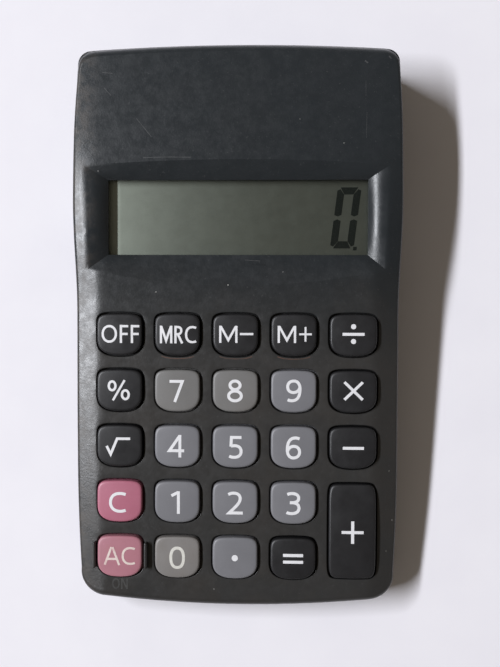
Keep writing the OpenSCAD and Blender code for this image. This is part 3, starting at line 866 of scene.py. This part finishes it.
MAT_BOT, MAT_TOP, DOME_TOP, DOME_ROOF = -4.4, -3.7, -2.63, -3.21
MAT_BOX = [(-30.3, -54.4), (30.3, -54.4), (30.3, 3.2), (-30.3, 3.2)]
DOME_HOLE_R, BOSS_HOLE_R = 3.52, 1.9
BOARD_BOSSES = [(-18.2, -8.15), (18.28, -8.15), (-18.2, -31.5), (18.2, -31.5), (-6.07, -43.2), (6.07, -43.2)]
# (radius, height) over a dome, from the middle of its top round to the carbon pill in its roof
DOME_RUBBER = [(1.74, DOME_TOP), (1.86, DOME_TOP - 0.05), (3.38, MAT_TOP + 0.09), (3.5, MAT_TOP),
               (3.5, MAT_BOT), (3.1, MAT_BOT), (1.6, DOME_ROOF), (1.2, DOME_ROOF)]
DOME_PILL = [(1.2, DOME_ROOF - 0.3), (1.14, DOME_ROOF - 0.34)]


def build_mat_sheet():
    """The sheet between the domes, with a hole for each dome and each screw boss."""
    m = Mesh()
    outlines = [MAT_BOX] + [circle(x, row_v(r), DOME_HOLE_R) for x in COL_X for r in range(1, ROWS + 1)]
    outlines += [circle(x, v, BOSS_HOLE_R) for x, v in BOARD_BOSSES]
    top, low = [], []
    for pts in outlines:
        for rings, w in ((top, MAT_TOP), (low, MAT_BOT)):
            rings.append([(pid, x, v) for pid, (x, v) in zip(m.add([tilt(x, v, w) for x, v in pts]), pts)])
    fill(m, top[0], top[1:])
    fill(m, low[0], low[1:], down=True)
    top, low = ([[p[0] for p in ring] for ring in rings] for rings in (top, low))
    m.strip(low[0], top[0])
    for upper, lower in zip(top[1:], low[1:]):
        m.strip(upper, lower)
    sheet = m.build("mat_sheet", [MAT], 30)
    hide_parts("key_mat")
    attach(sheet, "case")


def build_mat_dome(name, col, row_no):
    """The soft dome under a key, two under the tall one."""
    m = Mesh()
    for r in ((4, 5) if name == "plus" else (row_no,)):
        cx, cv = COL_X[col - 1], row_v(r)
        prev = None
        for k, (radius, w) in enumerate(DOME_RUBBER + DOME_PILL):
            now = m.add([tilt(x, v, w) for x, v in circle(cx, cv, radius)])
            if prev:
                m.strip(now, prev, mat=int(k >= len(DOME_RUBBER)))
            else:
                m.face(tuple(now))
            prev = now
        m.face(tuple(reversed(prev)), 1)
    piece = m.build("mat_dome_" + name, [MAT, CARBON], 35)
    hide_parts("key_mat", "carbon_pills")
    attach(piece, "case")
    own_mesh(piece)


# ---- legends ----

def bezier(p, n=10):
    """Points along a chain of cubic curves: p0 c c p1 c c p2 ..."""
    out = [p[0]]
    for k in range(0, len(p) - 3, 3):
        a, b, c, d = p[k:k + 4]
        for i in range(1, n + 1):
            t = i / n
            u = 1 - t
            out.append(tuple(u ** 3 * a[j] + 3 * u * u * t * b[j] + 3 * u * t * t * c[j] + t ** 3 * d[j]
                             for j in (0, 1)))
    return out


def oval(cx, cy, rx, ry, k=2.0, n=40):
    angles = [tau * i / n for i in range(n)]
    return [(cx + rx * power(cos(a), 2 / k), cy + ry * power(sin(a), 2 / k)) for a in angles]


# Each glyph: outer width, then its strokes as (points of the centre line, closed), for a
# height of 1 and strokes WEIGHT thick, so that H is the middle of a stroke along an edge.
WEIGHT = 0.145
H = WEIGHT / 2
GLYPHS = {
    "0": (0.70, [(oval(0.35, 0.5, 0.2775, 0.4275, 2.35), True)]),
    "1": (0.45, [([(0.345, 0), (0.345, 1)], False), ([(0.03, 0.80), (0.335, 0.955)], False)]),
    "2": (0.70, [(bezier([(0.06, 0.865), (0.16, 0.925), (0.24, 0.928), (0.30, 0.928), (0.46, 0.928),
        (0.575, 0.85), (0.575, 0.70), (0.575, 0.50), (0.36, 0.33), (0.10, H)]) + [(0.69, H)], False)]),
    "3": (0.645, [(bezier([(0.07, 0.885), (0.16, 0.925), (0.22, 0.928), (0.29, 0.928), (0.46, 0.928),
        (0.56, 0.85), (0.56, 0.735), (0.56, 0.61), (0.46, 0.54), (0.28, 0.54)]) + [(0.18, 0.54)], False),
        ([(0.18, 0.54)] + bezier([(0.28, 0.54), (0.48, 0.54), (0.575, 0.44), (0.575, 0.31), (0.575, 0.16),
        (0.44, H), (0.27, H), (0.18, H), (0.11, 0.085), (0.04, 0.12)]), False)]),
    "4": (0.72, [([(0.52, 0.95), (0.085, 0.30), (0.72, 0.30)], False), ([(0.535, 0), (0.535, 1)], False)]),
    "5": (0.63, [([(0.57, 0.928), (0.135, 0.928), (0.115, 0.535)] + bezier([(0.115, 0.545), (0.18, 0.57),
        (0.24, 0.575), (0.28, 0.575), (0.46, 0.575), (0.555, 0.47), (0.555, 0.325), (0.555, 0.165),
        (0.43, H), (0.26, H), (0.18, H), (0.11, 0.085), (0.04, 0.12)]), False)]),
    "6": (0.675, [(bezier([(0.60, 0.89), (0.53, 0.918), (0.48, 0.928), (0.42, 0.928), (0.19, 0.928),
        (H, 0.76), (H, 0.42), (H, 0.20), (0.17, H), (0.335, H), (0.49, H), (0.60, 0.17), (0.60, 0.325),
        (0.60, 0.475), (0.50, 0.57), (0.355, 0.57), (0.23, 0.57), (0.12, 0.50), (0.083, 0.36)]), False)]),
    "7": (0.66, [([(0.0, 0.928), (0.60, 0.928), (0.24, -0.01)], False)]),
    "8": (0.71, [(oval(0.355, 0.745, 0.225, 0.183), True), (oval(0.355, 0.285, 0.282, 0.2125), True)]),
    "O": (0.87, [(oval(0.435, 0.5, 0.362, 0.4275, 2.1), True)]),
    "F": (0.47, [([(H, 0), (H, 1)], False), ([(H, 0.928), (0.47, 0.928)], False),
        ([(H, 0.50), (0.44, 0.50)], False)]),
    "M": (0.80, [([(H, 0), (H, 1)], False), ([(0.7275, 0), (0.7275, 1)], False),
        ([(0.095, 0.96), (0.40, 0.16), (0.705, 0.96)], False)]),
    "R": (0.55, [([(H, 0), (H, 1)], False), ([(H, 0.928)] + bezier([(0.20, 0.928), (0.37, 0.928),
        (0.44, 0.85), (0.44, 0.73), (0.44, 0.60), (0.35, 0.52), (0.20, 0.52)]) + [(H, 0.52)], False),
        ([(0.22, 0.53), (0.50, 0.0)], False)]),
    "C": (0.74, [(bezier([(0.70, 0.875), (0.62, 0.915), (0.54, 0.928), (0.46, 0.928), (0.22, 0.928),
        (H, 0.76), (H, 0.50), (H, 0.24), (0.22, H), (0.46, H), (0.54, H), (0.62, 0.085),
        (0.70, 0.125)]), False)]),
    "A": (0.88, [([(0.06, 0), (0.41, 0.97)], False), ([(0.47, 0.97), (0.82, 0)], False),
        ([(0.18, 0.33), (0.70, 0.33)], False)]),
    "N": (0.76, [([(H, 0), (H, 1)], False), ([(0.6875, 0), (0.6875, 1)], False),
        ([(0.10, 0.96), (0.66, 0.04)], False)]),
}
GLYPHS["9"] = (0.675, [([(0.675 - x, 1 - y) for x, y in GLYPHS["6"][1][0][0]], False)])


def stroke_quads(pts, half, closed):
    """Shapes that thicken a centre line. Gentle turns share a mitred end, and a sharp one
    gets flat ends and a wedge that fills its outer corner."""
    n = len(pts)
    ends = []
    out = []
    for i in range(n):
        a = pts[i - 1] if closed or i > 0 else None
        b = pts[(i + 1) % n] if closed or i < n - 1 else None
        p = Vector(pts[i])
        d1 = (p - Vector(a)).normalized() if a else None
        d2 = (Vector(b) - p).normalized() if b else None
        d1, d2 = d1 or d2, d2 or d1
        n1, n2 = Vector((-d1.y, d1.x)), Vector((-d2.y, d2.x))
        mid = (n1 + n2).normalized()
        dot = mid.dot(n1)
        if dot > 0.94:
            s = half / dot
            ends.append(((p + mid * s, p - mid * s),) * 2)
            continue
        ends.append(((p + n1 * half, p - n1 * half), (p + n2 * half, p - n2 * half)))
        side = -1 if d1.x * d2.y - d1.y * d2.x > 0 else 1
        if dot > 0.3:
            out.append([p, p + n1 * half * side, p + mid * (half / dot) * side, p + n2 * half * side])
    for i in range(n if closed else n - 1):
        (la, ra), (lb, rb) = ends[i][1], ends[(i + 1) % n][0]
        out.append([la, ra, rb, lb])
    return [[(q[0], q[1]) for q in s] for s in out]


def glyph_quads(ch, x, y, height, stretch, weight):
    out = []
    for pts, closed in GLYPHS[ch][1]:
        place = [(x + px * stretch * height, y + py * height) for px, py in pts]
        clean = [place[0]]
        for q in place[1:]:
            if (q[0] - clean[-1][0]) ** 2 + (q[1] - clean[-1][1]) ** 2 > 1e-8:
                clean.append(q)
        out += stroke_quads(clean, weight * height / 2, closed)
    return out


def bar(x0, y0, x1, y1):
    return [[(x0, y0), (x1, y0), (x1, y1), (x0, y1)]]


def disc(cx, cy, r, n=24):
    return [circle(cx, cy, r, n)]


def line(x0, y0, x1, y1, thick):
    return stroke_quads([(x0, y0), (x1, y1)], thick / 2, False)


def twice_area(pts):
    return sum(p[0] * q[1] - q[0] * p[1] for p, q in zip(pts, pts[1:] + pts[:1]))


def anticlockwise(ids, pts):
    return ids if twice_area(pts) > 0 else list(reversed(ids))


# an outline is cut into steps of this length, the grid inside it is set off from the outline
# by these shares of a cell, and the ink reaches this far into the surface
OUTLINE_STEP, GRID_OFF, INK_FOOT = 0.42, (0.37, 0.41), -0.05


def fine_outline(pts):
    out = []
    for p, q in zip(pts, pts[1:] + pts[:1]):
        parts = max(1, ceil(dist(p, q) / OUTLINE_STEP))
        out += [(mix(p[0], q[0], j / parts), mix(p[1], q[1], j / parts)) for j in range(parts)]
    return out


def print_shape(name, quads, surface, material, body, thick=0.03, cell=0.45):
    """Union of flat shapes laid on a surface as thin ink. surface(x, y, h) gives a point in
    the frame."""
    verts, faces = [], []
    for q in quads:
        if abs(twice_area(q)) < 1e-6:
            continue
        q = fine_outline(anticlockwise(q, q))
        faces.append(list(range(len(verts), len(verts) + len(q))))
        verts += [Vector(p) for p in q]
    x0, y0, x1, y1 = box_of([tuple(v) for v in verts])
    for j in range(int((y1 - y0) / cell) + 1):
        for i in range(int((x1 - x0) / cell) + 1):
            verts.append(Vector((x0 + (i + GRID_OFF[0]) * cell, y0 + (j + GRID_OFF[1]) * cell)))
    out_v, _, out_f, _, _, orig_f = geometry.delaunay_2d_cdt(verts, [], faces, 0, 1e-5)
    m = Mesh()
    upper, lower = {}, {}

    def point(known, i, height):
        if i not in known:
            known[i] = m.add([surface(out_v[i].x, out_v[i].y, height)])[0]
        return known[i]

    edges = []
    for f, inside in zip(out_f, orig_f):
        if inside:
            f = list(anticlockwise(f, [out_v[i] for i in f]))
            m.face(tuple(point(upper, i, thick) for i in f))
            edges += zip(f, f[1:] + f[:1])
    shared = set(edges)
    for i, j in edges:
        if (j, i) not in shared:
            feet = [point(lower, k, INK_FOOT) for k in (i, j)]
            m.face((upper[j], upper[i], *feet))
    obj = m.build(name, [material], 30)
    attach(obj, body)


def text_quads(chars, x, y, height, stretch, weight, gap):
    out = []
    for ch in chars:
        out += glyph_quads(ch, x, y, height, stretch, weight)
        x += (GLYPHS[ch][0] * stretch + gap) * height
    return out


def centred(chars, cx, cy, height, width, weight=WEIGHT, gap=0.13):
    """Text of the given overall width and height, centred on (cx, cy)."""
    grow = (WEIGHT - weight) * height
    height, width = height + grow, width + grow
    plain = sum(GLYPHS[c][0] for c in chars) * height
    stretch = (width - gap * height * (len(chars) - 1)) / plain
    return text_quads(chars, cx - width / 2, cy - height / 2, height, stretch, weight, gap)


# each digit: middle, width and height of its print
DIGITS = (("7", -0.10, 0.0, 2.88, 4.52), ("8", -0.05, 0.06, 3.25, 4.74), ("9", 0.02, 0.16, 3.2, 4.71),
          ("4", -0.26, 0.09, 3.42, 4.65), ("5", 0.10, -0.04, 2.95, 4.78), ("6", 0.01, -0.04, 3.17, 4.8),
          ("1", -0.27, -0.07, 2.02, 4.68), ("2", 0.01, -0.03, 3.3, 4.79), ("3", 0.0, 0.01, 3.04, 4.83),
          ("0", 0.04, -0.04, 3.29, 4.72))


def legend_shapes():
    """The print of every key, in millimetres about the middle of the key."""
    d = {}
    d["off"] = centred("OFF", 0.22, 0.12, 3.72, 7.9, 0.128)
    d["mrc"] = centred("MRC", 0.22, 0.04, 3.6, 7.65, 0.128, 0.11)
    d["m_minus"] = centred("M", -1.48, 0.14, 3.5, 4.05, 0.132) + bar(0.93, -0.02, 3.71, 0.44)
    d["m_plus"] = (centred("M", -1.47, 0.18, 3.5, 4.05, 0.132)
                   + bar(1.08, 0.02, 3.68, 0.42) + bar(2.18, -1.31, 2.57, 1.73))
    d["divide"] = bar(-2.3, -0.04, 2.22, 0.56) + disc(-0.04, 1.83, 0.53) + disc(-0.04, -1.22, 0.53)
    d["percent"] = (line(-1.35, -2.1, 1.12, 2.14, 0.46)
                    + stroke_quads(oval(-1.50, 0.95, 0.70, 0.92), 0.25, True)
                    + stroke_quads(oval(1.28, -0.90, 0.70, 0.92), 0.25, True))
    for ch, x, y, w, h in DIGITS:
        d[ch] = centred(ch, x, y, h, w, 0.128)
    d["times"] = line(-1.83, -1.60, 1.95, 2.04, 0.57) + line(-1.83, 2.04, 1.95, -1.60, 0.57)
    d["root"] = stroke_quads([(-2.68, 0.0), (-1.83, -1.72), (-0.46, 1.55), (2.29, 1.55)], 0.27, False)
    d["minus"] = bar(-2.09, -0.29, 2.27, 0.31)
    d["c"] = centred("C", -0.37, -0.18, 4.38, 3.75, 0.14)
    d["ac"] = centred("AC", 0.0, 0.18, 3.78, 6.66, 0.118, 0.05)
    d["point"] = disc(0.0, 0.07, 0.66)
    d["equals"] = bar(-2.06, 0.48, 2.12, 1.12) + bar(-2.06, -0.91, 2.12, -0.29)
    d["plus"] = bar(-2.22, -0.35, 2.34, 0.26) + bar(-0.25, -2.40, 0.38, 2.29)
    return d


INK_OF = {"0": CREAM_INK, "ac": WORN_INK}


def build_legend(name, col, row_no, quads):
    """The print on a key, which follows its crown and goes down with it."""
    cx, cv, tall = COL_X[col - 1], row_v(row_no), name == "plus"

    def on_cap(x, y, h):
        return tilt(cx + x, cv + y, dome(x, y, tall) + h)

    print_shape("legend_" + name, quads, on_cap, INK_OF.get(name, WHITE_INK),
                "k_" + name)


# ---- wear on the case ----

# read off the photograph, in its pixels: the middle of the faint ON, the scratches
# (their points, half width in mm) and the specks of dust (place, radius in mm)
ON_PRINT = (120, 583.5)
SCRATCHES = (([(102.5, 72.4), (112.5, 73.4)], 0.07), ([(104, 87.8), (111, 95.5)], 0.07),
             ([(136.5, 118.5), (151.5, 137)], 0.05), ([(143, 157.6), (168, 157), (191, 157.2)], 0.06),
             ([(245, 260), (260, 261)], 0.05), ([(366, 80), (366, 96)], 0.03),
             ([(367, 112), (366.5, 138)], 0.03), ([(365, 60.5), (368, 63)], 0.16),
             ([(389, 56), (391.5, 58.5)], 0.15))
DUST_SPECKS = ((228, 285, 0.13), (156, 292, 0.12), (300, 119, 0.07), (344, 143, 0.08), (98, 171, 0.09),
               (389, 471, 0.08), (392, 520, 0.09), (386, 551, 0.08), (214, 589, 0.08), (283, 272, 0.07))
# grime below three keys of the first row: how far outside the hole, how far it reaches down
# and to the sides, and half its width
GRIME_OUT, GRIME_LOW, GRIME_HALF, GRIME_HALF_W = 0.34, -3.3, 3.6, 0.09


def build_wear():
    """Faint print, scratches, dust and grime on the case, laid on its upper face."""
    def lay(x, y, h):
        return x, y, surface_h(x, y) + h

    def mark(name, quads, material, thick):
        print_shape(name, quads, lay, material, "case", thick)

    mark("legend_on", centred("ON", *on_face(*ON_PRINT), 2.3, 3.3, 0.14), FAINT_INK, 0.015)
    scratches, dust, grime = [], [], []
    for pts, half in SCRATCHES:
        scratches += stroke_quads([on_face(*p) for p in pts], half, False)
    for px, py, r in DUST_SPECKS:
        dust += disc(*on_face(px, py), r, 8)
    for col in (1, 2, 3):
        low = [tilt(COL_X[col] + dx, row_v(1) + dy, 0)[:2]
               for dx, dy in key_outline(KEY_W, KEY_L, KEY_GAP + GRIME_OUT)
               if dy < GRIME_LOW and abs(dx) < GRIME_HALF]
        grime += stroke_quads(low, GRIME_HALF_W, False)
    mark("scuff_marks", scratches, SCUFF, 0.006)
    mark("dust_specks", dust, DUST, 0.02)
    mark("grime_lines", grime, GRIME, 0.008)


# ---- display ----

# the digit in the key plane, and its bars: thickness, cut-off ends, gap, tip from the middle
DIGIT_AT, DIGIT_W, DIGIT_H, DIGIT_LEAN = (19.62, 15.9), 4.98, 12.8, 0.125
BAR_T, BAR_CUT, BAR_GAP, BAR_TIP = 1.5, 0.62, 0.045, 0.30
POINT_AT, POINT_SHAPE = (24.35, -0.5), ((0.1, 0.1), (0.85, 0.1), (0.94, 0.85), (0.19, 0.85))


def build_display():
    """The digit shown on the panel, a zero: six bars with small gaps, leaning to the right, and
    its point."""
    w, h, t, cut, gap = DIGIT_W, DIGIT_H, BAR_T, BAR_CUT, BAR_GAP
    x0, v0 = DIGIT_AT
    level = [(cut + gap, 0), (w - cut - gap, 0), (w - t * 0.55, cut * 0.4), (w - t - gap * 0.6, t),
             (t + gap * 0.6, t), (t * 0.5, cut * 0.4)]
    upright = [(0, cut + gap), (0, h / 2 - cut), (t * 0.5, h / 2 - BAR_TIP), (t, h / 2 - cut), (t, t + gap),
               (t * 0.42, cut * 0.55 + gap)]

    def on_lcd(x, v, height):
        return tilt(x, v, LCD_TOP + height)

    def digit_bar(pts, right, up):
        pts = [(w - px if right else px, h - py if up else py) for px, py in pts]
        return [(x0 + px + py * DIGIT_LEAN, v0 + py) for px, py in pts]

    quads = [digit_bar(level, False, up) for up in (True, False)]
    quads += [digit_bar(upright, right, up) for right in (False, True) for up in (False, True)]
    quads.append([(POINT_AT[0] + px, v0 + POINT_AT[1] + py) for px, py in POINT_SHAPE])
    print_shape("lcd_digit", quads, on_lcd, LCD_INK, "case", thick=0.03, cell=1.2)


# ---- carried-over nodes: surface finish ----

NODE_FINISH = {
    "rear_case": CASE, "battery_cover": CASE, "display_window": WINDOW, "lcd_panel": LCD,
    "lcd_holder": HOLDER, "lcd_ribbon": FILM, "circuit_board": BOARD, "board_screws": STEEL,
    "case_screws": STEEL, "rubber_feet": RUBBER, "chip": RESIN,
    "electrolytic_capacitor": SLEEVE, "ceramic_capacitor": CERAMIC, "resistor_1": LACQUER,
    "resistor_2": LACQUER, "aa_cell": CELL, "positive_contact": NICKEL, "negative_spring": NICKEL,
    "red_lead": RED_PVC, "black_lead": BLACK_PVC}


def dress_nodes():
    for name, mat in NODE_FINISH.items():
        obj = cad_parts[name]
        if not obj.material_slots:
            obj.data.materials.append(mat)
        for s in obj.material_slots:
            s.material = mat
    for name in ("rear_case", "battery_cover"):
        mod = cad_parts[name].modifiers.new("soft_normals", "WEIGHTED_NORMAL")
        mod.keep_sharp = True
        mod.weight = 60


# ---- camera, light and floor ----

# sizes in metres; the light stands to the left, half way up, like a window
FLOOR_HALF, FLOOR_Z = 0.6, -0.00005
LIGHT_SIZE, LIGHT_WATTS, LIGHT_COLOUR = (1.34, 0.12), 60.0, (0.93, 0.95, 1.0)
LIGHT_RISE, LIGHT_FAR, LIGHT_Y = radians(49), 2.1, 0.25
WALLS, CEILING = (0.90, 0.89, 0.92), (0.14, 0.12, 0.095)


def build_camera():
    data = bpy.data.cameras.new("camera")
    data.sensor_width = SENSOR
    data.lens = CAM_LENS
    data.clip_start = 0.005
    cam = bpy.data.objects.new("camera", data)
    cam.location = CAM_AT * MM
    cam.rotation_euler = CAM_TURN
    bpy.context.scene.collection.objects.link(cam)
    bpy.context.scene.camera = cam


def floor_material():
    """Pale table top with faint clouds."""
    m, t, b = new_material("pale_floor")
    p = coords(t)
    col = ramp(t, noise(t, p, 60, 4), [(0.3, (0.80, 0.785, 0.83)), (0.7, (0.83, 0.815, 0.855))])
    t.links.new(col, b.inputs["Base Color"])
    put(b, {"Roughness": 0.8, "Specular IOR Level": 0.2})
    bump(t, b, noise(t, p, 1500, 3), 0.1, 0.0001)
    return m


def build_floor():
    me = bpy.data.meshes.new("floor")
    corners = [(-1, -1), (1, -1), (1, 1), (-1, 1)]
    me.from_pydata([(x * FLOOR_HALF, y * FLOOR_HALF, FLOOR_Z) for x, y in corners], [], [(0, 1, 2, 3)])
    me.materials.append(floor_material())
    floor = bpy.data.objects.new("floor", me)
    bpy.context.scene.collection.objects.link(floor)


def build_window_light():
    data = bpy.data.lights.new("window_light", "AREA")
    data.shape = "RECTANGLE"
    data.size, data.size_y = LIGHT_SIZE
    data.energy = LIGHT_WATTS
    data.color = LIGHT_COLOUR
    light = bpy.data.objects.new("window_light", data)
    away, up = LIGHT_FAR * cos(LIGHT_RISE), LIGHT_FAR * sin(LIGHT_RISE)
    light.location = (-away, LIGHT_Y, up)
    light.rotation_euler = Vector((away, 0, -up)).to_track_quat("-Z", "Y").to_euler()
    bpy.context.scene.collection.objects.link(light)


def build_room():
    """What the case reflects: a dim warm ceiling, and pale walls low down behind the floor."""
    world = bpy.data.worlds.new("room")
    bpy.context.scene.world = world
    world.use_nodes = True
    tree = world.node_tree
    tree.nodes.clear()
    out = tree.nodes.new("ShaderNodeOutputWorld")
    room = tree.nodes.new("ShaderNodeBackground")
    height = axis(tree, tree.nodes.new("ShaderNodeTexCoord").outputs["Generated"], "Z")
    tree.links.new(ramp(tree, height, [(0.0, WALLS), (0.088, WALLS), (0.13, CEILING)]), room.inputs[0])
    tree.links.new(room.outputs[0], out.inputs[0])


build_camera()
build_floor()
build_window_light()
build_room()
bpy.context.scene.view_settings.view_transform = "Standard"
build_front()
build_mat_sheet()
legends = legend_shapes()
for key_name, key_col, key_row, key_finish in KEYS:
    build_key(key_name, key_col, key_row, key_finish)
    build_mat_dome(key_name, key_col, key_row)
    build_legend(key_name, key_col, key_row, legends[key_name])
build_display()
build_wear()
dress_nodes()
